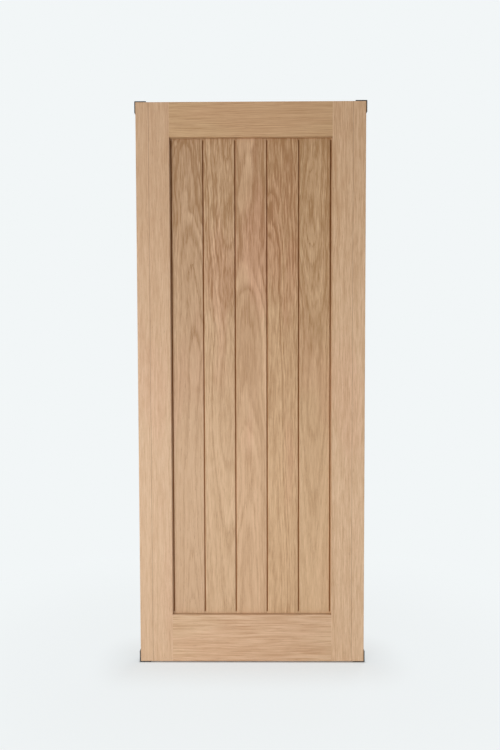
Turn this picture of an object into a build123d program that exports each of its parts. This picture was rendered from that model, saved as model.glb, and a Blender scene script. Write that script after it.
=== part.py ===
from build123d import *
import os

# A solid oak entry door leaf, unfinished and not yet hung, in millimetres.
# X runs across the leaf, Y through its thickness with the front at -Y, and Z up.
# The leaf stands on its two lower corner guards. The origin is on the floor, midway
# between them and midway through the thickness.

# Leaf
leaf_width = 826.0
leaf_height = 2040.0
leaf_thickness = 44.0
arris = 0.8                  # small chamfer that eases every exposed edge
shoulder_arris = 0.3         # the finer one where a rail meets a stile

# Frame
stile_width = 120.0
top_rail_height = 124.0
bottom_rail_height = 175.0

# Panel
board_count = 5
panel_thickness = 16.0
panel_entry = 10.0           # how far the panel reaches into the frame
entry_gap = 2.0              # room beyond it, for the oak to swell
housing_clearance = 0.1      # each side of the panel in its housing

# Grooves cut over the joints of the boards
groove_width = 8.0
groove_depth = 4.0
groove_stop = 4.0            # from the end of a groove to the rail
cutter_overrun = 1.0         # how far the cutter stands out of the panel's face

# Tongue and groove between boards
tongue_length = 8.0
tongue_shoulder = 1.0        # flat left between the V groove and the tongue
tongue_lead = 0.8            # chamfer on the tongue's tip
tongue_end_gap = 0.6
tongue_clearance = 0.1       # each side of the tongue

# Corner joints of the frame
tenon_gap = 0.5              # between a rail's stub tenon and the bottom of its slot
dowel_diameter = 12.0
dowel_length = 120.0
dowel_clearance = 0.05       # around the dowel, for glue
dowel_end_gap = 1.0
dowel_margin = 30.0          # from a dowel's axis to the rail's edge or panel slot
dowel_chamfer = 1.2
flute_count = 6
flute_depth = 0.7
top_dowel_count = 2
bottom_dowel_count = 3

# Corner guards and their staples
guard_leg = 42.0
guard_thickness = 4.0
guard_inset = 2.0            # from the guard's side to the leaf's face
guard_corner_radius = 2.5
guard_end_radius = 1.5
staple_crown = 10.0
staple_length = 10.0
staple_wire_thickness = 0.7
staple_wire_width = 1.2
staple_bend_radius = 0.6
staple_distance = 24.0       # from the guard's outer corner to each staple

# Levels and faces that the pieces share
leaf_bottom = guard_thickness
leaf_top = leaf_bottom + leaf_height
leaf_middle = (leaf_bottom + leaf_top) / 2
leaf_side = leaf_width / 2
opening_side = leaf_side - stile_width
opening_bottom = leaf_bottom + bottom_rail_height
opening_top = leaf_top - top_rail_height
opening_width = 2 * opening_side
housing_depth = panel_entry + entry_gap
housing_width = panel_thickness + 2 * housing_clearance
groove_pitch = (opening_width - groove_width) / board_count
tongue_thickness = panel_thickness - 2 * groove_depth - 2 * tongue_shoulder
tenon_length = housing_depth - tenon_gap
tenon_thickness = panel_thickness
middle_plane = Plane.XY.offset(leaf_middle)


def span(x_low, x_high, thickness, z_low, z_high):
    """A block centred in the leaf's thickness, between two places across and two levels."""
    centre = Pos((x_low + x_high) / 2, 0, (z_low + z_high) / 2)
    return centre * Box(x_high - x_low, thickness, z_high - z_low)


def eased_edge(across, depth, z_low, z_high):
    """Cutter that chamfers one upright edge, as a sanding block does."""
    side = arris * 2 ** 0.5
    return Pos(across, depth, (z_low + z_high) / 2) * Rot(Z=45) * Box(side, side, z_high - z_low)


def dowel_levels(low, high, count):
    """Heights of the dowels of one joint, spread evenly between its margins."""
    first = low + dowel_margin
    step = (high - low - 2 * dowel_margin) / (count - 1)
    return [first + step * index for index in range(count)]


top_levels = dowel_levels(opening_top + housing_depth, leaf_top, top_dowel_count)
bottom_levels = dowel_levels(leaf_bottom, opening_bottom - housing_depth, bottom_dowel_count)


def dowel_holes(levels):
    """Holes for the dowels of one left-hand joint, in stile and rail alike."""
    radius = dowel_diameter / 2 + dowel_clearance
    hole = Rot(Y=90) * Cylinder(radius, dowel_length + 2 * dowel_end_gap)
    return [Pos(-opening_side, 0, level) * hole for level in levels]


def dowels(levels):
    """Dowels of one left-hand joint, with V-shaped flutes for the glue and chamfered ends."""
    rod = Cylinder(dowel_diameter / 2, dowel_length)
    rod = chamfer(rod.edges().filter_by(GeomType.CIRCLE), dowel_chamfer)
    side = flute_depth * 2 ** 0.5
    flutes = PolarLocations(dowel_diameter / 2, flute_count) * (Rot(Z=45) * Box(side, side, dowel_length))
    rod = Rot(Y=90) * (rod - flutes)
    return Compound([Pos(-opening_side, 0, level) * rod for level in levels])


def staple():
    """One staple, its crown along Y and its legs down, with the crown's top at the origin."""
    outline = Rectangle(staple_crown, staple_length, align=(Align.CENTER, Align.MAX))
    outline = fillet(outline.vertices().group_by(Axis.Y)[-1], staple_bend_radius)
    inside_width = staple_crown - 2 * staple_wire_thickness
    inside = Rectangle(inside_width, staple_length, align=(Align.CENTER, Align.MAX))
    wire = outline - Pos(0, -staple_wire_thickness) * inside
    return extrude(Plane.YZ * wire, staple_wire_width / 2, both=True)


def staples():
    """The two staples of the upper left guard, one down through each leg."""
    guard_left = -leaf_side - guard_thickness
    guard_top = leaf_top + guard_thickness
    on_top = Pos(guard_left + staple_distance, 0, guard_top) * staple()
    on_side = Pos(guard_left, 0, guard_top - staple_distance) * Rot(Y=-90) * staple()
    return Compound([on_top, on_side])


def guard():
    """The upper left corner guard: an L section with a rounded corner and leg ends."""
    corner = (-leaf_side - guard_thickness, leaf_top + guard_thickness)
    square = Rectangle(guard_leg, guard_leg, align=(Align.MIN, Align.MAX))
    section = Pos(*corner) * square - Pos(-leaf_side, leaf_top) * square
    section = fillet(section.vertices().sort_by_distance(corner)[0], guard_corner_radius)
    top_end = section.vertices().group_by(Axis.X)[-1].sort_by(Axis.Y)[-1]
    side_end = section.vertices().group_by(Axis.Y)[0].sort_by(Axis.X)[0]
    section = fillet([top_end, side_end], guard_end_radius)
    width = leaf_thickness - 2 * guard_inset
    return extrude(Plane.XZ * section, width / 2, both=True) - staples()


def left_stile():
    """Full-height stile, slotted along its inner edge for the panel and the rails' tenons."""
    stile = span(-leaf_side, -opening_side, leaf_thickness, leaf_bottom, leaf_top)
    outer_edges = stile.faces().sort_by(Axis.X)[0].edges()
    end_edges = stile.edges().filter_by(Axis.X)
    stile = chamfer(outer_edges + end_edges, arris)
    slot_side = -opening_side - housing_depth
    stile -= span(slot_side, -opening_side, housing_width, leaf_bottom, leaf_top)
    for face in (-leaf_thickness / 2, leaf_thickness / 2):
        stile -= eased_edge(-opening_side, face, opening_bottom, opening_top)
    stile -= dowel_holes(top_levels + bottom_levels)
    return stile - staples() - mirror(staples(), about=middle_plane)


def rail(outer_level, inner_level, levels):
    """Rail between the stiles: stub tenons at its ends and a slot for the panel along its inner edge."""
    low, high = sorted((outer_level, inner_level))
    body = span(-opening_side, opening_side, leaf_thickness, low, high)
    body = chamfer(body.edges().filter_by(Axis.X), arris)
    body = chamfer(body.edges().filter_by(Axis.Z), shoulder_arris)
    tenon_side = opening_side + tenon_length
    body += span(-tenon_side, tenon_side, tenon_thickness, low, high)
    into_rail = housing_depth if outer_level > inner_level else -housing_depth
    slot_low, slot_high = sorted((inner_level, inner_level + into_rail))
    body -= span(-tenon_side, tenon_side, housing_width, slot_low, slot_high)
    holes = dowel_holes(levels)
    return body - holes - [mirror(hole, about=Plane.YZ) for hole in holes]


def groove_cutter(index):
    """Cutters of one V groove, front and back: a V-shaped prism with the bit's cone at each end."""
    across = -opening_side + groove_width / 2 + groove_pitch * index
    height = groove_depth + cutter_overrun
    half_mouth = groove_width / 2 * height / groove_depth
    apex = -panel_thickness / 2 + groove_depth
    low = opening_bottom + groove_stop + groove_width / 2
    high = opening_top - groove_stop - groove_width / 2
    triangle = Polygon(
        (across, apex), (across - half_mouth, apex - height), (across + half_mouth, apex - height), align=None
    )
    prism = Pos(0, 0, low) * extrude(triangle, high - low)
    cone = Rot(X=-90) * Cone(half_mouth, 0, height, align=(Align.CENTER, Align.CENTER, Align.MAX))
    front = prism + Pos(across, apex, low) * cone + Pos(across, apex, high) * cone
    return front + mirror(front, about=Plane.XZ)


def panel_board(index, cutters):
    """One board of the panel, housed all round or tongued and grooved to its neighbours."""
    first = index == 0
    last = index == board_count - 1
    joint = -opening_side + groove_width / 2 + groove_pitch * index
    left = -opening_side - panel_entry if first else joint
    right = opening_side + panel_entry if last else joint + groove_pitch
    section = Pos(left, 0) * Rectangle(right - left, panel_thickness, align=(Align.MIN, Align.CENTER))
    if not first:
        depth = tongue_length + tongue_end_gap
        slot_height = tongue_thickness + 2 * tongue_clearance
        section -= Pos(left, 0) * Rectangle(depth, slot_height, align=(Align.MIN, Align.CENTER))
    if not last:
        tongue = Rectangle(tongue_length, tongue_thickness, align=(Align.MIN, Align.CENTER))
        tongue = chamfer(tongue.vertices().group_by(Axis.X)[-1], tongue_lead)
        section += Pos(right, 0) * tongue
    length = opening_top - opening_bottom + 2 * panel_entry
    board = Pos(0, 0, opening_bottom - panel_entry) * extrude(section, length)
    return board - cutters[index] - cutters[index + 1]


upper_guard = guard()
upper_staples = staples()
upper_dowels = dowels(top_levels)
lower_dowels = dowels(bottom_levels)
cutters = [groove_cutter(index) for index in range(board_count + 1)]

left_corner_pieces = {
    "top_left_guard": upper_guard,
    "bottom_left_guard": mirror(upper_guard, about=middle_plane),
    "top_left_staples": upper_staples,
    "bottom_left_staples": mirror(upper_staples, about=middle_plane),
    "top_left_dowels": upper_dowels,
    "bottom_left_dowels": lower_dowels,
}

nodes = {
    "left_stile": left_stile(),
    "top_rail": rail(leaf_top, opening_top, top_levels),
    "bottom_rail": rail(leaf_bottom, opening_bottom, bottom_levels),
}
nodes["right_stile"] = mirror(nodes["left_stile"], about=Plane.YZ)
for index in range(board_count):
    nodes[f"panel_board_{index + 1}"] = panel_board(index, cutters)
for name, piece in left_corner_pieces.items():
    nodes[name] = piece
    nodes[name.replace("left", "right")] = mirror(piece, about=Plane.YZ)

os.makedirs("parts", exist_ok=True)
for name, shape in nodes.items():
    export_step(shape, f"parts/{name}.step")
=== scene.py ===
# %% [markdown]
# # An oak entry door leaf, dressed in Blender
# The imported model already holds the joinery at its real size: stiles, rails, boards, dowels, corner guards
# and staples. This lesson only gives the surfaces their finish, adds the wire staples that a close look
# needs, and sets up a small studio. Everything is in metres, in the same frame as the model: X across the
# leaf, Y through its thickness with the front at -Y, and Z up.
# %% Load the frame
import bpy
from math import radians
from mathutils import Matrix, Vector


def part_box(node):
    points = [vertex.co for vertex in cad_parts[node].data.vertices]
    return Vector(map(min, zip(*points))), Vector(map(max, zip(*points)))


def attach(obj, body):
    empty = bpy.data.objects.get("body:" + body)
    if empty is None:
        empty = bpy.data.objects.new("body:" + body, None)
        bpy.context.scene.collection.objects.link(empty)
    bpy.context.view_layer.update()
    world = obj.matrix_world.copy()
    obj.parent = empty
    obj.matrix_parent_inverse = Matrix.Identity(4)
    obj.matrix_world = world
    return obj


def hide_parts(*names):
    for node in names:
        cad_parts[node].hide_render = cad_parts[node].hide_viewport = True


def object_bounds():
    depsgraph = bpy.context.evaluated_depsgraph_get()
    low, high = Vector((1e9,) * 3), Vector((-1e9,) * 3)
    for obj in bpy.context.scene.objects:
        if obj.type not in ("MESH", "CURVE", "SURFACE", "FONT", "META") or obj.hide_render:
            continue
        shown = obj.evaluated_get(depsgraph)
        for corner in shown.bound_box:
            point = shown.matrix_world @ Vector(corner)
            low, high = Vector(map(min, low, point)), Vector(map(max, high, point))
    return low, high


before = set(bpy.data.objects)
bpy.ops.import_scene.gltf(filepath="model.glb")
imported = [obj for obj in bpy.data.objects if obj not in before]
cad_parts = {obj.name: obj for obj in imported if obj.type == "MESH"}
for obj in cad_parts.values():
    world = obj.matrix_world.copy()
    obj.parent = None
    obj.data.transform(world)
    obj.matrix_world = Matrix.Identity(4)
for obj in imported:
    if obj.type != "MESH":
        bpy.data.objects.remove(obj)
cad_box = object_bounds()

print("nodes:", ", ".join(sorted(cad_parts)))
print("model box:", [[round(v, 3) for v in corner] for corner in cad_box])

# %% [markdown]
# ## The view
# The camera stands about two metres in front of the leaf, a little above half its height, and looks down by
# two degrees. These values were worked out from how the leaf narrows towards its foot in a straight-on
# photograph. A wide lens at that distance is what makes the ledge of the bottom rail and the underside of
# the top rail show. The small yaw and roll are what is left when a camera isn't quite square to its subject.
# %% Camera
leaf_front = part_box("left_stile")[0][1]
camera_distance = 2.0359
camera_height = 1.1421
camera_across = 0.0092
camera_pitch = radians(2.14)
camera_yaw = radians(0.394)
camera_roll = radians(-0.153)
picture_height = 750
focal_length_in_pixels = 560
sensor_size = 36.0

camera_data = bpy.data.cameras.new("studio_camera")
camera_data.sensor_width = sensor_size
camera_data.lens = sensor_size * focal_length_in_pixels / picture_height
camera = bpy.data.objects.new("studio_camera", camera_data)
camera.location = (camera_across, leaf_front - camera_distance, camera_height)
turned = Matrix.Rotation(camera_yaw, 4, "Z") @ Matrix.Rotation(radians(90) - camera_pitch, 4, "X")
camera.rotation_euler = (turned @ Matrix.Rotation(camera_roll, 4, "Z")).to_euler()
bpy.context.scene.collection.objects.link(camera)
bpy.context.scene.camera = camera
bpy.context.scene.view_settings.view_transform = "Standard"
print("lens:", round(camera_data.lens, 2), "mm")

# %% [markdown]
# ## Colours
# Colours are picked on a screen, from 0 to 255, but a shader works with linear light. Turning them in one
# place keeps the picked values readable in the rest of the lesson.
# %% Colour helper
def srgb(red, green, blue):
    """A colour as picked on screen, from 0 to 255, turned into the linear values of a shader."""
    def linear(value):
        value = value / 255
        return value / 12.92 if value <= 0.04045 else ((value + 0.055) / 1.055) ** 2.4
    return (linear(red), linear(green), linear(blue), 1.0)


print("mid grey in linear light:", round(srgb(128, 128, 128)[0], 3))

# %% [markdown]
# ## Helpers for node trees
# Every finish below is a node tree. Writing trees by hand gets long, so a small class adds a node, sets what
# is given and links what is linked. A value may be a plain number or the output of another node, so the
# trees can be written almost as arithmetic.
# %% Node helpers
class Tree:
    """Adds and links nodes in one node tree."""

    def __init__(self, tree):
        self.tree = tree

    def feed(self, socket, value):
        """Links an output to a socket, or sets the socket to a plain value."""
        if isinstance(value, bpy.types.NodeSocket):
            self.tree.links.new(value, socket)
        else:
            socket.default_value = value

    def node(self, kind, inputs=(), **settings):
        node = self.tree.nodes.new(kind)
        for name, value in settings.items():
            setattr(node, name, value)
        for key, value in dict(inputs).items():
            self.feed(node.inputs[key], value)
        return node

    def math(self, operation, first, second=None, clamp=False):
        values = {0: first} if second is None else {0: first, 1: second}
        return self.node("ShaderNodeMath", values, operation=operation, use_clamp=clamp).outputs[0]

    def add(self, first, *others):
        for other in others:
            first = self.math("ADD", first, other)
        return first

    def times(self, first, *others):
        for other in others:
            first = self.math("MULTIPLY", first, other)
        return first

    def less(self, first, second):
        return self.math("SUBTRACT", first, second)

    def vector(self, operation, first, second):
        return self.node("ShaderNodeVectorMath", {0: first, 1: second}, operation=operation).outputs[0]

    def triple(self, x=0.0, y=0.0, z=0.0):
        return self.node("ShaderNodeCombineXYZ", {0: x, 1: y, 2: z}).outputs[0]

    def noise(self, vector, stretch, shift, detail=2.0, roughness=0.5):
        """Noise around 0, with as many cells to a metre along each axis as stretch says."""
        place = self.vector("ADD", self.vector("MULTIPLY", vector, stretch), shift)
        inputs = {"Vector": place, "Scale": 1.0, "Detail": detail, "Roughness": roughness}
        return self.less(self.node("ShaderNodeTexNoise", inputs).outputs["Fac"], 0.5)

    def noise_along(self, position, detail=1.0):
        """Noise around 0 that varies with a single number."""
        inputs = {"W": position, "Scale": 1.0, "Detail": detail}
        texture = self.node("ShaderNodeTexNoise", inputs, noise_dimensions="1D")
        return self.less(texture.outputs["Fac"], 0.5)

    def smooth(self, value, low, high):
        """0 below low, 1 above high and a smooth step between."""
        inputs = {"Value": value, "From Min": low, "From Max": high}
        return self.node("ShaderNodeMapRange", inputs, interpolation_type="SMOOTHSTEP").outputs["Result"]

    def mix(self, factor, first, second, blend="MIX"):
        node = self.node("ShaderNodeMix", data_type="RGBA", blend_type=blend, clamp_factor=True)
        self.feed(node.inputs[0], factor)
        self.feed(node.inputs[6], first)
        self.feed(node.inputs[7], second)
        return node.outputs[2]


print("node helpers ready")

# %% [markdown]
# ### Node groups
# An effect that several materials share is a group: one tree with named sockets, placed in each material
# with its own values. Every group here takes the place that is being shaded, and then its own numbers and
# colours with their usual values.
# %% Group helper
def group(name, inputs, outputs):
    """An empty shader group: returns its tree, what comes in and the sockets of what goes out.

    An input given as a number is a value, and one given as a tuple is a colour.
    """
    tree = bpy.data.node_groups.new(name, "ShaderNodeTree")
    tree.interface.new_socket("Vector", in_out="INPUT", socket_type="NodeSocketVector")
    for socket, value in inputs.items():
        kind = "NodeSocketColor" if isinstance(value, tuple) else "NodeSocketFloat"
        tree.interface.new_socket(socket, in_out="INPUT", socket_type=kind).default_value = value
    for socket, kind in outputs.items():
        tree.interface.new_socket(socket, in_out="OUTPUT", socket_type=kind)
    return tree, tree.nodes.new("NodeGroupInput").outputs, tree.nodes.new("NodeGroupOutput").inputs


print("group helper ready")

# %% [markdown]
# ## Oak as a solid
# A board is a slice of a log, so its figure comes from where it was cut. The group below keeps the growth
# rings as cylinders around a pith that wanders along the grain, and the surface only shows where they are
# cut. A pith behind the face gives cathedral arches, a pith far to one side gives straight lines, and end
# grain comes out right by itself. A flat image could not do that, and it would repeat.
# %% Oak group
off_the_board = 9.0        # metres from the middle, where a glue line never shows
blush_tint = (1.0, 0.90, 0.93, 1.0)
oak_inputs = {
    "Seed": 0.0, "Pith Across": 0.0, "Pith Behind": 0.1, "Lean": 0.0, "Wander": 0.02, "Curl": 0.0,
    "Wave": 0.004, "Grain Length": 1.0, "Ring Width": 0.004, "Contrast": 1.0, "Streaks": 1.0,
    "Head Tone And Shade": 0.0, "Calm Foot": 0.0, "Blush Level": 0.0, "Blush Reach": 0.3, "Blush Share": 0.3,
    "Glue Line": off_the_board,
    "Pale": srgb(214, 181, 149), "Dark": srgb(176, 136, 100), "Blush": blush_tint,
}
oak_outputs = {"Color": "NodeSocketColor", "Roughness": "NodeSocketFloat", "Height": "NodeSocketFloat"}
oak_tree, given, made = group("oak_figure", oak_inputs, oak_outputs)
oak = Tree(oak_tree)
place, seed = given["Vector"], given["Seed"]
across_board, into_board, level = oak.node("ShaderNodeSeparateXYZ", {0: place}).outputs
shift = oak.vector("MULTIPLY", oak.triple(seed, seed, seed), (3.1, 1.7, 5.3))
print("oak group:", len(oak_inputs), "inputs beside the place")

# %% [markdown]
# ### The pith
# The pith drifts sideways and in depth along the board, most of all near the head, where the figure is
# wildest. Levels here are metres from the middle of the piece, upwards or along its grain. The seed moves
# every noise to a stretch of its own, so that each piece comes from another log.
# %% Distance from the pith
along = oak.add(oak.times(level, 1.3), oak.times(seed, 7.3))
wildness = oak.add(oak.times(oak.smooth(level, -0.6, 0.7), 0.8), 0.35)
wander = oak.times(given["Wander"], 2.0, wildness)
wander_across = oak.times(oak.noise_along(along), wander)
wander_behind = oak.times(oak.noise_along(oak.add(along, 41.0), detail=2.0), wander)
across = oak.less(oak.less(across_board, given["Pith Across"]), wander_across)
leaning = oak.add(oak.times(level, given["Lean"]), wander_behind)
behind = oak.less(oak.less(into_board, given["Pith Behind"]), leaning)
radius = oak.math("SQRT", oak.add(oak.times(across, across), oak.times(behind, behind)))
print("distance from the pith:", len(oak_tree.nodes), "nodes so far")

# %% [markdown]
# ### Where the rings lie
# Swells, ripples, curls near the head and the fibres themselves push the rings up and down a little, each
# ring differently, which gives the arches their feathered edges. A clean contour line would look drawn. On
# long, straight pieces the fibres are drawn out along the grain.
# %% Growth rings
swell_size = 0.012
ripple_size = 0.0040
feather_size = 0.0045
unevenness = 2.6
drawn_out = oak.triple(1.0, 1.0, oak.math("DIVIDE", 1.0, given["Grain Length"]))
fibre_place = oak.vector("MULTIPLY", place, drawn_out)
swell = oak.times(oak.noise(place, (13, 13, 2.4), shift), swell_size)
ripple = oak.times(oak.noise(place, (60, 60, 8), shift), ripple_size)
feather = oak.times(oak.noise(fibre_place, (380, 380, 16), shift, detail=1.0), feather_size)
near_head = oak.smooth(level, -0.1, 0.8)
curl = oak.times(oak.noise(place, (24, 24, 9), shift, detail=1.0), given["Curl"], near_head)
ring = oak.math("DIVIDE", oak.add(radius, curl, swell, ripple, feather), given["Ring Width"])
year_spread = oak.noise_along(oak.add(oak.times(ring, 0.23), oak.times(seed, 3.7)))
ring = oak.add(ring, oak.times(year_spread, unevenness))
print("growth rings:", len(oak_tree.nodes), "nodes so far")

# %% [markdown]
# ### Early and late wood
# Each ring starts in spring with open, darker early wood and ends in dense, paler late wood. Some years are
# strong and some are faint, and runs of years are darker or paler together.
# %% Early wood
ring_share = oak.math("FRACT", ring)
year_seed = oak.add(oak.math("FLOOR", ring), seed)
strength = oak.node("ShaderNodeTexWhiteNoise", {"W": year_seed}, noise_dimensions="1D").outputs["Value"]
strength = oak.add(oak.times(strength, 0.8), 0.2)
rising = oak.smooth(ring_share, 0.82, 1.0)
falling = oak.less(1.0, oak.smooth(ring_share, 0.0, 0.55))
early = oak.times(oak.math("MAXIMUM", rising, falling), strength)
years = oak.noise_along(oak.add(oak.times(ring, 0.42), oak.times(seed, 5.1)))
print("early wood:", len(oak_tree.nodes), "nodes so far")

# %% [markdown]
# ### Fibres and pores
# Streaks of three widths run with the grain: broad patches of colour, the fine lines seen from across a
# room, and the open pores that only show close up, mostly in the early wood. A slow wave bends them all a
# little, so that they don't look ruled.
# %% Fibres and pores
wave = oak.triple(oak.times(oak.noise(place, (5, 5, 5.5), shift), given["Wave"]))
waved = oak.vector("MULTIPLY", oak.vector("ADD", place, wave), drawn_out)
fibre = oak.noise(waved, (320, 320, 18), shift, detail=3.0, roughness=0.62)
streak = oak.noise(waved, (95, 95, 4.5), shift, detail=2.0, roughness=0.55)
patch = oak.noise(place, (11, 11, 1.9), shift, detail=2.0)
pore = oak.smooth(oak.noise(waved, (1500, 1500, 75), shift, detail=1.0), 0.10, 0.22)
pore = oak.times(pore, oak.add(oak.times(early, 0.8), 0.2))
lines = oak.add(oak.times(fibre, 1.9), oak.times(streak, 0.7))
print("fibres and pores:", len(oak_tree.nodes), "nodes so far")

# %% [markdown]
# ### From pale to dark
# One number says how dark the wood is at each point. The rings and the lines add up in it, calmer towards the
# foot, and where a piece asks for that it is darker towards the head: painted shade for the light that falls
# off upwards, and on the boards partly their own tone. It then picks a tone between the piece's own pale and
# dark.
# %% Shade
plain_shade = 0.38
calm = oak.times(oak.less(1.0, oak.smooth(level, -0.3, 0.65)), given["Calm Foot"])
rings = oak.add(oak.times(oak.less(early, 0.25), 0.6), oak.times(years, 0.75))
figure = oak.add(oak.times(rings, given["Contrast"]), oak.times(lines, given["Streaks"]))
figure = oak.times(figure, oak.less(1.0, calm))
# Darker towards the head: painted shade for the light falling off upwards, and on the boards partly their own
# tone.
head = oak.times(oak.smooth(level, -0.45, 0.95), given["Head Tone And Shade"])
shade = oak.math("ADD", oak.add(figure, head), plain_shade, clamp=True)
colour = oak.mix(shade, given["Pale"], given["Dark"])
print("shade:", len(oak_tree.nodes), "nodes so far")

# %% [markdown]
# ### Blush, pores and glue lines
# Some oak has a pink blush, in patches near one level of the board. The pores are darker than the dark wood,
# and so is the hairline where two lengths were glued edge to edge. What comes out is a colour, a roughness
# and a height, because the shader itself stays in each material.
# %% Colour and outputs
pore_share = 0.5
glue_share = 0.45
glue_edges = (0.0004, 0.0012)
apart = oak.math("ABSOLUTE", oak.less(level, given["Blush Level"]))
near = oak.math("SUBTRACT", 1.0, oak.math("DIVIDE", apart, given["Blush Reach"]), clamp=True)
blush = oak.smooth(oak.add(patch, oak.times(near, 0.32)), 0.06, 0.30)
blushed = oak.mix(1.0, colour, given["Blush"], "MULTIPLY")
colour = oak.mix(oak.times(blush, given["Blush Share"]), colour, blushed)
pore_colour = oak.mix(1.0, given["Dark"], srgb(150, 128, 112), "MULTIPLY")
colour = oak.mix(oak.times(pore, pore_share), colour, pore_colour)
off_line = oak.math("ABSOLUTE", oak.less(across_board, given["Glue Line"]))
glue = oak.times(oak.less(1.0, oak.smooth(off_line, *glue_edges)), glue_share)
roughness = oak.math("ADD", oak.times(early, 0.14), oak.add(fibre, 0.60), clamp=True)
height = oak.less(oak.times(fibre, 0.5), oak.add(pore, oak.times(early, 0.3)))
oak.feed(made["Color"], oak.mix(glue, colour, pore_colour))
oak.feed(made["Roughness"], roughness)
oak.feed(made["Height"], height)
print("oak group:", len(oak_tree.nodes), "nodes")

# %% [markdown]
# ### The grooves and the recess
# Each groove's narrow V is darkened in the colour, a painted shade that stands in for the shadow inside it,
# so each groove reads as a thin dark line. The same painted shade lies in the corner under the top rail. The
# group finds how far a point lies under the panel's face, and how near it is to the head of the recess, and
# gives one mask for both.
# %% Recess group
painted_shade_inputs = {"Face": 0.008, "Full Depth": 0.004, "Head": 1.92, "Head Reach": 0.005, "Head Shade Share": 0.6}
painted_shade_tree, given, made = group("recess_painted_shade", painted_shade_inputs, {"Mask": "NodeSocketFloat"})
sunk = Tree(painted_shade_tree)
speckle_depth = 0.0012
into_board, level = sunk.node("ShaderNodeSeparateXYZ", {0: given["Vector"]}).outputs[1:]
speckle = sunk.times(sunk.noise(given["Vector"], (400, 400, 30), (0, 0, 0)), speckle_depth)
depth = sunk.add(sunk.less(given["Face"], sunk.math("ABSOLUTE", into_board)), speckle)
# Painted shade in the grooves: darker the deeper a point lies under the panel's face.
groove = sunk.smooth(sunk.math("DIVIDE", depth, given["Full Depth"]), 0.15, 0.9)
# Painted shade in the corner under the top rail, fading over a few millimetres below it.
below = sunk.math("DIVIDE", sunk.less(given["Head"], level), given["Head Reach"])
corner = sunk.math("SUBTRACT", 1.0, sunk.math("ABSOLUTE", below), clamp=True)
corner = sunk.times(sunk.math("POWER", corner, 1.7), given["Head Shade Share"])
sunk.feed(made["Mask"], sunk.math("MAXIMUM", groove, corner))
print("recess group:", len(painted_shade_tree.nodes), "nodes")

# %% [markdown]
# ## One material for each piece of oak
# The joiner picked straight-grained lengths for the frame and showier, flat-sawn ones for the panel. Each
# piece gets its own material, with the same group and its own log, so that no two boards match. The figure
# runs along Z, so a rail's is turned by a quarter, and each is centred on its piece.
# %% Oak material
# The colour that the painted shade multiplies into the grooves and into the corner under the top rail.
painted_groove_shade = srgb(166, 123, 63)
upright = (0.0, 0.0, 0.0)
lying = (0.0, radians(90), 0.0)


def set_inputs(tree, node, values):
    """Sets a group's inputs from names written in lower case with underscores."""
    for name, value in values.items():
        tree.feed(node.inputs[name.replace("_", " ").title()], value)


def oak_material(name, centre, turn, log, recess=None):
    """A raw oak surface cut from one log, with painted shade in its grooves and under the top rail where it has
    a recess.
    """
    material = bpy.data.materials.new(name)
    material.use_nodes = True
    nodes = Tree(material.node_tree)
    shader = material.node_tree.nodes["Principled BSDF"]
    coordinates = nodes.node("ShaderNodeTexCoord").outputs["Object"]
    to_centre = tuple(-value for value in centre)
    centred = nodes.node("ShaderNodeMapping", {"Vector": coordinates, "Location": to_centre}).outputs[0]
    turned = nodes.node("ShaderNodeMapping", {"Vector": centred, "Rotation": turn}).outputs[0]
    figure = nodes.node("ShaderNodeGroup", node_tree=oak_tree)
    nodes.feed(figure.inputs["Vector"], turned)
    set_inputs(nodes, figure, log)
    colour = figure.outputs["Color"]
    if recess:
        tone = nodes.node("ShaderNodeGroup", node_tree=painted_shade_tree)
        nodes.feed(tone.inputs["Vector"], coordinates)
        set_inputs(nodes, tone, recess)
        # Painted shade: the mask darkens the oak in the grooves and under the top rail.
        painted_shade_colour = nodes.mix(1.0, colour, painted_groove_shade, "MULTIPLY")
        colour = nodes.mix(tone.outputs["Mask"], colour, painted_shade_colour)
    relief = {"Height": figure.outputs["Height"], "Strength": 0.35, "Distance": 0.0004}
    nodes.feed(shader.inputs["Base Color"], colour)
    nodes.feed(shader.inputs["Roughness"], figure.outputs["Roughness"])
    nodes.feed(shader.inputs["Normal"], nodes.node("ShaderNodeBump", relief).outputs["Normal"])
    shader.inputs["Specular IOR Level"].default_value = 0.3
    return material


print("oak material ready")

# %% [markdown]
# ### Dressing a node
# A node of the frame keeps its mesh and its place, and only its material slots change. The middle of its box
# is where its figure is centred.
# %% Dressing helpers
def dress(node, material):
    """Gives a node of the frame one material all over."""
    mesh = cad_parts[node].data
    mesh.materials.clear()
    mesh.materials.append(material)


def centre_of(node):
    low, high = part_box(node)
    return tuple((a + b) / 2 for a, b in zip(low, high))


print("middle of the top rail:", [round(value, 3) for value in centre_of("top_rail")])

# %% [markdown]
# ### Stiles and rails
# The stiles are cut from straight, pale lengths, each with a lath glued along its outer edge. The grain of
# the rails lies across the leaf, in finer and longer lines. The top rail is the darkest piece of the frame,
# partly in its own tone and partly in painted shade for the light that falls off towards the head.
# %% Frame
lath_width = 0.046
glue_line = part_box("left_stile")[0][0] + lath_width - centre_of("left_stile")[0]
frame_log = dict(wander=0.025, ring_width=0.0043, contrast=0.4)
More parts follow.
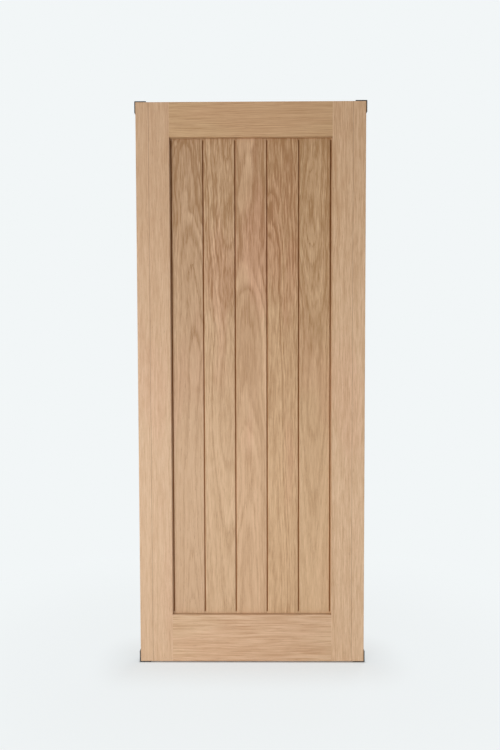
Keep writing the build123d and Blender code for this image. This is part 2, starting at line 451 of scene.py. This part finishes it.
# On the stiles the darkening towards the head is painted shade, for the light falling off upwards.
stile_log = dict(frame_log, wave=0.004, head_tone_and_shade=0.32)
rail_log = dict(frame_log, wave=0.007, grain_length=2.2)
frame_logs = {
    "left_stile": dict(
        stile_log, seed=1.0, pith_across=0.34, pith_behind=0.16, streaks=0.62, glue_line=glue_line,
        pale=srgb(217, 186, 154), dark=srgb(183, 145, 111)
    ),
    "right_stile": dict(
        stile_log, seed=2.0, pith_across=-0.30, pith_behind=0.2, streaks=0.9, glue_line=-glue_line,
        pale=srgb(219, 187, 154), dark=srgb(184, 146, 110)
    ),
    # The top rail's darker pale and dark are partly its own tone and partly painted shade, for the light
    # falling off towards the head.
    "top_rail": dict(
        rail_log, seed=3.0, pith_across=0.26, pith_behind=0.12, streaks=1.05,
        pale=srgb(200, 165, 127), dark=srgb(166, 128, 88)
    ),
    "bottom_rail": dict(
        rail_log, seed=4.0, pith_across=0.3, pith_behind=0.14, streaks=1.5,
        pale=srgb(214, 182, 149), dark=srgb(180, 142, 106)
    ),
}
for node, log in frame_logs.items():
    turn = lying if node.endswith("rail") else upright
    dress(node, oak_material(node + "_oak", centre_of(node), turn, log))
print("frame pieces dressed:", len(frame_logs))

# %% [markdown]
# ### The panel's boards
# The five boards are flat-sawn, so their pith lies close behind the face and the rings come out as arches.
# They are darker towards the head, partly in their own tone and partly in painted shade for the light that
# falls off upwards, and livelier there too. The middle three have a pink blush at about three quarters of
# their height. The painted shade in the grooves and in the corner under the top rail is placed from the
# panel's own face and the top rail's edge.
# %% Panel
panel_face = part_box("panel_board_1")[1][1]
opening_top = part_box("top_rail")[0][2]
# Where the painted shade of the grooves and of the corner under the top rail lies.
recess = dict(face=panel_face, head=opening_top)
# On the boards the darkening towards the head is partly their own tone and partly painted shade.
board_log = dict(wander=0.03, ring_width=0.0072, wave=0.006, head_tone_and_shade=0.5, curl=0.010)
board_logs = {
    "panel_board_1": dict(
        board_log, seed=11.0, pith_across=0.012, pith_behind=0.05, lean=0.03, contrast=0.95, streaks=0.72,
        calm_foot=0.6, blush_share=0.35, pale=srgb(216, 183, 150), dark=srgb(156, 119, 83)
    ),
    "panel_board_2": dict(
        board_log, seed=12.0, pith_across=0.03, pith_behind=0.07, lean=-0.02, contrast=1.05, streaks=1.15,
        calm_foot=0.55, blush_share=0.6, blush_level=0.38, pale=srgb(217, 184, 149), dark=srgb(160, 122, 85)
    ),
    "panel_board_3": dict(
        board_log, seed=13.0, pith_across=-0.02, pith_behind=0.09, lean=0.025, contrast=0.85, streaks=0.68,
        calm_foot=0.4, blush_share=0.75, blush_level=0.45, pale=srgb(218, 183, 148), dark=srgb(161, 122, 86)
    ),
    "panel_board_4": dict(
        board_log, seed=14.0, pith_across=-0.05, pith_behind=0.06, lean=0.02, contrast=1.0, streaks=1.05,
        calm_foot=0.35, blush_share=0.7, blush_level=0.46, pale=srgb(214, 179, 141), dark=srgb(157, 117, 79)
    ),
    "panel_board_5": dict(
        board_log, seed=15.0, pith_across=-0.01, pith_behind=0.05, lean=-0.03, contrast=0.65, streaks=0.85,
        calm_foot=0.45, blush_share=0.35, pale=srgb(218, 184, 147), dark=srgb(159, 121, 82)
    ),
}
for node, log in board_logs.items():
    dress(node, oak_material(node + "_oak", centre_of(node), upright, log, recess))
print("boards dressed:", len(board_logs))

# %% [markdown]
# ## Dowels, guards and staples
# The dowels are beech, hidden in the joints. The guards are black plastic strip, bent over each corner and
# stapled, and their matt skin picks up pale scuffs from being handled. One function serves all three: a fine
# grain in the relief, and scuffs that are lighter and rougher.
# %% Small parts
def plain_material(name, colour, roughness, metallic=0.0):
    """A surface with a fine grain and a few lighter, rougher scuffs."""
    material = bpy.data.materials.new(name)
    material.use_nodes = True
    nodes = Tree(material.node_tree)
    shader = material.node_tree.nodes["Principled BSDF"]
    shader.inputs["Metallic"].default_value = metallic
    coordinates = nodes.node("ShaderNodeTexCoord").outputs["Object"]
    grain = nodes.noise(coordinates, (900, 900, 900), (0, 0, 0), detail=3.0)
    scuffs = nodes.noise(coordinates, (60, 300, 60), (4, 4, 4), detail=4.0, roughness=0.7)
    scuff = nodes.smooth(scuffs, 0.08, 0.3)
    lighter = tuple(min(1.0, value * 1.6 + 0.008) for value in colour[:3]) + (1.0,)
    nodes.feed(shader.inputs["Base Color"], nodes.mix(scuff, colour, lighter))
    rough = nodes.add(nodes.times(grain, 0.2), nodes.times(scuff, 0.15), roughness)
    nodes.feed(shader.inputs["Roughness"], rough)
    relief = {"Height": grain, "Strength": 0.25, "Distance": 0.0002}
    nodes.feed(shader.inputs["Normal"], nodes.node("ShaderNodeBump", relief).outputs["Normal"])
    return material


guard_plastic = plain_material("guard_plastic", (0.006, 0.006, 0.0065, 1.0), 0.7)
staple_steel = plain_material("staple_steel", (0.55, 0.55, 0.56, 1.0), 0.32, metallic=1.0)
dowel_beech = plain_material("dowel_beech", srgb(206, 170, 132), 0.6)
guard_nodes = [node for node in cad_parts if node.endswith("guard")]
dowel_nodes = [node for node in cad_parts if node.endswith("dowels")]
for node in guard_nodes:
    dress(node, guard_plastic)
for node in dowel_nodes:
    dress(node, dowel_beech)
print("small parts dressed:", len(guard_nodes) + len(dowel_nodes))

# %% [markdown]
# ## Wire staples
# Eight staples of flat wire hold the guards, one through each leg. Geometry Nodes bend one staple from a line
# with rounded corners, sweep the wire's rounded section along it, and set a copy on each point. The line has
# four points, a foot, two shoulders and a foot, and each finds its place from its number.
# %% Staple line
staple_sizes = {
    "Crown": 0.010, "Length": 0.010, "Bend Radius": 0.0009, "Wire Thickness": 0.0007, "Wire Width": 0.0012,
    "Edge Radius": 0.00022
}
line_points = 4
staple_tree = bpy.data.node_groups.new("wire_staples", "GeometryNodeTree")
staple_tree.interface.new_socket("Points", in_out="INPUT", socket_type="NodeSocketGeometry")
for name, value in staple_sizes.items():
    socket = staple_tree.interface.new_socket(name, in_out="INPUT", socket_type="NodeSocketFloat")
    socket.default_value = value
staple_tree.interface.new_socket("Material", in_out="INPUT", socket_type="NodeSocketMaterial")
staple_tree.interface.new_socket("Staples", in_out="OUTPUT", socket_type="NodeSocketGeometry")
bent = Tree(staple_tree)
given = staple_tree.nodes.new("NodeGroupInput").outputs
half_wire = bent.math("DIVIDE", given["Wire Thickness"], 2.0)
half_crown = bent.less(bent.math("DIVIDE", given["Crown"], 2.0), half_wire)
from_middle = bent.less(bent.node("GeometryNodeInputIndex").outputs[0], (line_points - 1) / 2)
at_foot = bent.math("GREATER_THAN", bent.math("ABSOLUTE", from_middle), 1.0)
leg = bent.times(at_foot, bent.less(given["Length"], half_wire))
sideways = bent.times(bent.math("SIGN", from_middle), half_crown)
place = bent.triple(0.0, sideways, bent.times(bent.add(leg, half_wire), -1.0))
line = bent.node("GeometryNodeMeshLine", {"Count": line_points}).outputs[0]
line = bent.node("GeometryNodeSetPosition", {"Geometry": line, "Position": place}).outputs[0]
line = bent.node("GeometryNodeMeshToCurve", {"Mesh": line}).outputs[0]
bend = {"Curve": line, "Count": 4, "Radius": given["Bend Radius"]}
line = bent.node("GeometryNodeFilletCurve", bend, mode="POLY").outputs[0]
print("staple line:", len(staple_tree.nodes), "nodes so far")

# %% [markdown]
# The wire is drawn flat, with soft edges, so its section is a rectangle with small fillets. The staple then
# stands on each point with its crown across the leaf's thickness, turned to the way that the point faces.
# Real geometry and its material come last, because an export drops instances.
# %% Wire section and places
size = {"Width": given["Wire Width"], "Height": given["Wire Thickness"]}
section = bent.node("GeometryNodeCurvePrimitiveQuadrilateral", size).outputs[0]
edges = {"Curve": section, "Count": 2, "Radius": given["Edge Radius"]}
section = bent.node("GeometryNodeFilletCurve", edges, mode="POLY").outputs[0]
sweep = {"Curve": line, "Profile Curve": section, "Fill Caps": True}
wire = bent.node("GeometryNodeCurveToMesh", sweep).outputs[0]
named = {"Name": "facing"}
facing = bent.node("GeometryNodeInputNamedAttribute", named, data_type="FLOAT_VECTOR").outputs[0]
towards = {"Vector": facing}
turn = bent.node("FunctionNodeAlignRotationToVector", towards, axis="Z", pivot_axis="Y").outputs[0]
spread = {"Points": given["Points"], "Instance": wire, "Rotation": turn}
copies = bent.node("GeometryNodeInstanceOnPoints", spread).outputs[0]
copies = bent.node("GeometryNodeRealizeInstances", {"Geometry": copies}).outputs[0]
finish = {"Geometry": copies, "Material": given["Material"]}
copies = bent.node("GeometryNodeSetMaterial", finish).outputs[0]
bent.feed(staple_tree.nodes.new("NodeGroupOutput").inputs[0], copies)
print("staple tree:", len(staple_tree.nodes), "nodes")

# %% [markdown]
# ### Where the staples stand
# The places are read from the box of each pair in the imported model: one staple lies at the box's outer level,
# the other at its outer side. Each point carries the way that its staple faces, upwards, downwards or out.
# %% Staple points
staple_nodes = [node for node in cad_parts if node.endswith("staples")]
half_width = staple_sizes["Wire Width"] / 2
points, facings = [], []
for node in staple_nodes:
    low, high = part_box(node)
    left, upper = "left" in node, "top" in node
    side, inner_side = (low[0], high[0] - half_width) if left else (high[0], low[0] + half_width)
    level, inner_level = (high[2], low[2] + half_width) if upper else (low[2], high[2] - half_width)
    points += [(inner_side, 0.0, level), (side, 0.0, inner_level)]
    facings += [(0.0, 0.0, 1.0 if upper else -1.0), (-1.0 if left else 1.0, 0.0, 0.0)]
points_mesh = bpy.data.meshes.new("staple_points")
points_mesh.from_pydata(points, [], [])
attribute = points_mesh.attributes.new("facing", "FLOAT_VECTOR", "POINT")
for item, value in zip(attribute.data, facings):
    item.vector = value
print("staple points:", len(points))

# %% [markdown]
# ### The finished staples
# A modifier runs the tree on the points. Its result becomes a plain mesh, the modifier goes, and the new
# piece rides on the leaf and stands for the four plain nodes.
# %% Staples
carrier = bpy.data.objects.new("staple_points", points_mesh)
bpy.context.scene.collection.objects.link(carrier)
modifier = carrier.modifiers.new("staples", "NODES")
modifier.node_group = staple_tree
for item in staple_tree.interface.items_tree:
    if item.in_out == "INPUT" and item.name == "Material":
        modifier[item.identifier] = staple_steel
bpy.context.view_layer.update()
built = carrier.evaluated_get(bpy.context.evaluated_depsgraph_get())
wire_mesh = bpy.data.meshes.new_from_object(built)
wire_staples = bpy.data.objects.new("wire_staples", wire_mesh)
bpy.context.scene.collection.objects.link(wire_staples)
carrier.modifiers.remove(modifier)
bpy.data.objects.remove(carrier)
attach(wire_staples, "root")
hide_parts(*staple_nodes)
print("staples:", len(points), "made of", len(wire_mesh.polygons), "faces")

# %% [markdown]
# ## The floor
# A pale floor that fades into a white surround. What the camera sees of it is part lit floor, which keeps the
# leaf's shadow, and part plain glow, which grows with the distance from the leaf's foot. Right under the leaf
# there is no glow, so the thin gap between its guards stays dark. Light that bounces off the floor onto the
# leaf comes from the lit part alone.
# %% Floor
floor_half = 7.0
surround = srgb(242, 246, 247)
floor_colour = srgb(243, 245, 246)
foot_share = 0.65
foot_reach = 0.006
near_share = 0.25
near_reach = 0.2
far_share = 1 - foot_share - near_share
far_reach = 1.1


def seen_or_reflected(nodes):
    """1 on rays from the camera, also by way of gloss or glass, and 0 on those that light the leaf."""
    rays = nodes.node("ShaderNodeLightPath").outputs
    mirrored = nodes.math("MAXIMUM", rays["Is Glossy Ray"], rays["Is Transmission Ray"])
    return nodes.math("MAXIMUM", rays["Is Camera Ray"], mirrored)


floor_corners = [(x * floor_half, y * floor_half, 0.0) for x, y in [(-1, -1), (1, -1), (1, 1), (-1, 1)]]
floor_mesh = bpy.data.meshes.new("studio_floor")
floor_mesh.from_pydata(floor_corners, [], [(0, 1, 2, 3)])
floor = bpy.data.objects.new("studio_floor", floor_mesh)
bpy.context.scene.collection.objects.link(floor)
print("floor:", 2 * floor_half, "m wide")

# %% [markdown]
# ### The floor's finish
# The glow's share is worked out from how far a point lies outside the leaf's footprint, in three steps: at
# the foot, near it and far from it.
# %% Floor material
floor_material = bpy.data.materials.new("studio_floor")
floor_material.use_nodes = True
floor_mesh.materials.append(floor_material)
nodes = Tree(floor_material.node_tree)
lit = floor_material.node_tree.nodes["Principled BSDF"]
lit.inputs["Base Color"].default_value = floor_colour
lit.inputs["Roughness"].default_value = 0.8
coordinates = nodes.node("ShaderNodeTexCoord").outputs["Object"]
place = nodes.node("ShaderNodeVectorMath", {0: coordinates}, operation="ABSOLUTE").outputs[0]
footprint = (*cad_box[1][:2], 0.0)
outside = nodes.vector("MAXIMUM", nodes.vector("SUBTRACT", place, footprint), (0.0, 0.0, 0.0))
distance = nodes.node("ShaderNodeVectorMath", {0: outside}, operation="LENGTH").outputs["Value"]
at_foot = nodes.times(nodes.smooth(distance, 0.0, foot_reach), foot_share)
near = nodes.times(nodes.smooth(distance, 0.0, near_reach), near_share)
far = nodes.times(nodes.smooth(distance, near_reach, far_reach), far_share)
glow_share = nodes.times(nodes.add(near, far, at_foot), seen_or_reflected(nodes))
glow = nodes.node("ShaderNodeEmission", {"Color": surround, "Strength": 1.0}).outputs[0]
faded = nodes.node("ShaderNodeMixShader", {0: glow_share, 1: lit.outputs[0], 2: glow}).outputs[0]
nodes.feed(floor_material.node_tree.nodes["Material Output"].inputs["Surface"], faded)
print("floor material:", len(floor_material.node_tree.nodes), "nodes")

# %% [markdown]
# ## The surround
# The world shows the same pale white as the floor's glow, but lights the leaf with a weaker, neutral white.
# The background's brightness then says nothing about how much light falls on the oak.
# %% World
ambient_strength = 0.50
world = bpy.data.worlds.new("studio_world")
bpy.context.scene.world = world
world.use_nodes = True
nodes = Tree(world.node_tree)
white = (1, 1, 1, 1)
ambient = nodes.node("ShaderNodeBackground", {"Color": white, "Strength": ambient_strength}).outputs[0]
shown = nodes.node("ShaderNodeBackground", {"Color": surround, "Strength": 1.0}).outputs[0]
blend = {0: seen_or_reflected(nodes), 1: ambient, 2: shown}
surface = nodes.node("ShaderNodeMixShader", blend).outputs[0]
nodes.feed(world.node_tree.nodes["World Output"].inputs["Surface"], surface)
print("world:", len(world.node_tree.nodes), "nodes")

# %% [markdown]
# ## Lamps
# A large, low lamp from the front left rakes across the panel, so the grooves and ledges show and the foot is
# a little brighter than the head. A small one, low in front, lifts the lower half, and a large one behind
# lights the back for anyone who walks around the leaf.
# %% Lamps
def area_lamp(name, size, power, place, aim):
    """A soft, rectangular lamp at a place, turned to what it is aimed at."""
    lamp = bpy.data.lights.new(name, "AREA")
    lamp.shape = "RECTANGLE"
    lamp.size, lamp.size_y = size
    lamp.energy = power
    stand = bpy.data.objects.new(name, lamp)
    stand.location = place
    stand.rotation_euler = (Vector(aim) - Vector(place)).to_track_quat("-Z", "Y").to_euler()
    bpy.context.scene.collection.objects.link(stand)


large = (2.4, 1.6)
small = (0.8, 0.5)
below_middle = (0.0, 0.0, 0.8)
lower_half = (0.0, 0.0, 0.6)
area_lamp("key_lamp", large, 108, (-2.6, -4.0, 0.6), below_middle)
area_lamp("fill_lamp", small, 6, (-0.5, -2.0, 0.25), lower_half)
area_lamp("back_lamp", large, 90, (2.6, 4.0, 1.0), below_middle)
print("lamps:", len(bpy.data.lights))
